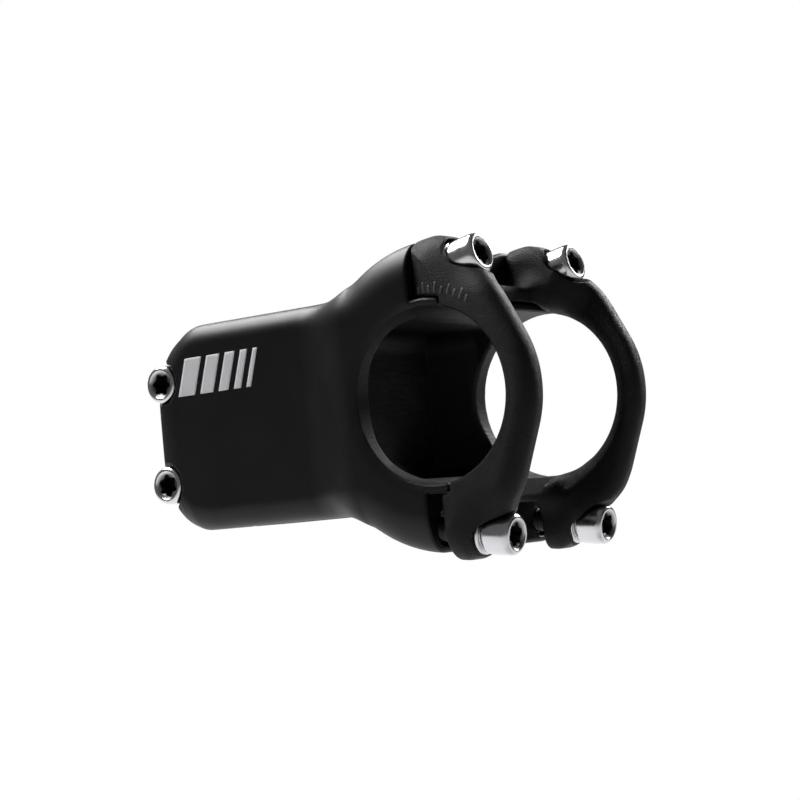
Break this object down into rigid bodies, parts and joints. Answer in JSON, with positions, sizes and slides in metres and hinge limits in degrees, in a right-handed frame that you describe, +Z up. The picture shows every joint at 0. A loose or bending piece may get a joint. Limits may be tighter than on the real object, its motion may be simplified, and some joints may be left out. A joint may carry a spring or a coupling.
{
  "type": "bicycle handlebar stem",
  "caption": "Short handlebar stem: a hollow body clamps the steerer tube with cross bolts behind it, and an open face clamp with two arches and four bolts holds the handlebar",
  "frame": {"origin": "on the steerer axis, at the lower face of the steerer clamp", "axes": "+X forward from the steerer to the handlebar, +Y to the rider's left, +Z up along the steerer"},
  "size_m": [0.1016, 0.05, 0.0642],
  "materials": {
    "carbon_body": "satin black unidirectional carbon fibre",
    "clamp_black": "fine-grained matte black",
    "polished_steel": "turned and polished",
    "alloy": "black anodised",
    "side_marks": "white printed stripes"
  },
  "bodies": {
    "stem": {"stem_body": "carbon_body", "right_upper_insert": "alloy", "right_lower_insert": "alloy", "left_upper_insert": "alloy", "left_lower_insert": "alloy", "upper_steerer_nut": "alloy", "lower_steerer_nut": "alloy"},
    "face_clamp": {"face_clamp": "clamp_black"},
    "right_upper_washer": {"right_upper_washer": "polished_steel"},
    "right_upper_bolt": {"right_upper_bolt": "polished_steel"},
    "right_lower_washer": {"right_lower_washer": "polished_steel"},
    "right_lower_bolt": {"right_lower_bolt": "polished_steel"},
    "left_upper_washer": {"left_upper_washer": "polished_steel"},
    "left_upper_bolt": {"left_upper_bolt": "polished_steel"},
    "left_lower_washer": {"left_lower_washer": "polished_steel"},
    "left_lower_bolt": {"left_lower_bolt": "polished_steel"},
    "upper_steerer_washer": {"upper_steerer_washer": "polished_steel"},
    "upper_steerer_bolt": {"upper_steerer_bolt": "polished_steel"},
    "lower_steerer_washer": {"lower_steerer_washer": "polished_steel"},
    "lower_steerer_bolt": {"lower_steerer_bolt": "polished_steel"}
  },
  "joints": [
    {"name": "face_clamp_slide", "type": "slide", "parent": "stem", "child": "face_clamp", "axis": [1, 0, 0], "range_m": [0, 0.00121]},
    {"name": "right_upper_bolt_travel", "type": "slide", "parent": "stem", "child": "right_upper_washer", "axis": [0.9781, 0, 0.2079], "range_m": [0, 0.012]},
    {"name": "right_upper_bolt_turn", "type": "hinge", "parent": "right_upper_washer", "child": "right_upper_bolt", "pos_m": [0.0616, -0.0184, 0.0489], "axis": [0.9781, 0, 0.2079], "range_deg": [0, 5401]},
    {"name": "right_lower_bolt_travel", "type": "slide", "parent": "stem", "child": "right_lower_washer", "axis": [0.9903, 0, -0.1392], "range_m": [0, 0.01201]},
    {"name": "right_lower_bolt_turn", "type": "hinge", "parent": "right_lower_washer", "child": "right_lower_bolt", "pos_m": [0.0633, -0.0184, -0.0066], "axis": [0.9903, 0, -0.1392], "range_deg": [0, 5401]},
    {"name": "left_upper_bolt_travel", "type": "slide", "parent": "stem", "child": "left_upper_washer", "axis": [0.9781, 0, 0.2079], "range_m": [0, 0.01201]},
    {"name": "left_upper_bolt_turn", "type": "hinge", "parent": "left_upper_washer", "child": "left_upper_bolt", "pos_m": [0.0616, 0.0184, 0.0489], "axis": [0.9781, 0, 0.2079], "range_deg": [0, 5401]},
    {"name": "left_lower_bolt_travel", "type": "slide", "parent": "stem", "child": "left_lower_washer", "axis": [0.9903, 0, -0.1392], "range_m": [0, 0.01201]},
    {"name": "left_lower_bolt_turn", "type": "hinge", "parent": "left_lower_washer", "child": "left_lower_bolt", "pos_m": [0.0633, 0.0184, -0.0066], "axis": [0.9903, 0, -0.1392], "range_deg": [0, 5401]},
    {"name": "upper_steerer_bolt_travel", "type": "slide", "parent": "stem", "child": "upper_steerer_washer", "axis": [0, -1, 0], "range_m": [0, 0.012]},
    {"name": "upper_steerer_bolt_turn", "type": "hinge", "parent": "upper_steerer_washer", "child": "upper_steerer_bolt", "pos_m": [-0.0228, -0.0121, 0.0325], "axis": [0, -1, 0], "range_deg": [0, 5401]},
    {"name": "lower_steerer_bolt_travel", "type": "slide", "parent": "stem", "child": "lower_steerer_washer", "axis": [0, -1, 0], "range_m": [0, 0.012]},
    {"name": "lower_steerer_bolt_turn", "type": "hinge", "parent": "lower_steerer_washer", "child": "lower_steerer_bolt", "pos_m": [-0.0234, -0.0121, 0.0105], "axis": [0, -1, 0], "range_deg": [0, 5401]}
  ],
  "couplings": [
    {"joint": "face_clamp_slide", "follows": "right_upper_bolt_travel", "ratio": 0.1},
    {"joint": "right_upper_bolt_turn", "follows": "right_upper_bolt_travel", "rad_per_m": 7854},
    {"joint": "right_lower_bolt_turn", "follows": "right_upper_bolt_travel", "rad_per_m": 7854},
    {"joint": "right_lower_bolt_travel", "follows": "right_upper_bolt_travel", "ratio": 1},
    {"joint": "left_upper_bolt_turn", "follows": "right_upper_bolt_travel", "rad_per_m": 7854},
    {"joint": "left_upper_bolt_travel", "follows": "right_upper_bolt_travel", "ratio": 1},
    {"joint": "left_lower_bolt_turn", "follows": "right_upper_bolt_travel", "rad_per_m": 7854},
    {"joint": "left_lower_bolt_travel", "follows": "right_upper_bolt_travel", "ratio": 1},
    {"joint": "upper_steerer_bolt_turn", "follows": "upper_steerer_bolt_travel", "rad_per_m": 7854},
    {"joint": "lower_steerer_bolt_turn", "follows": "lower_steerer_bolt_travel", "rad_per_m": 7854}
  ]
}
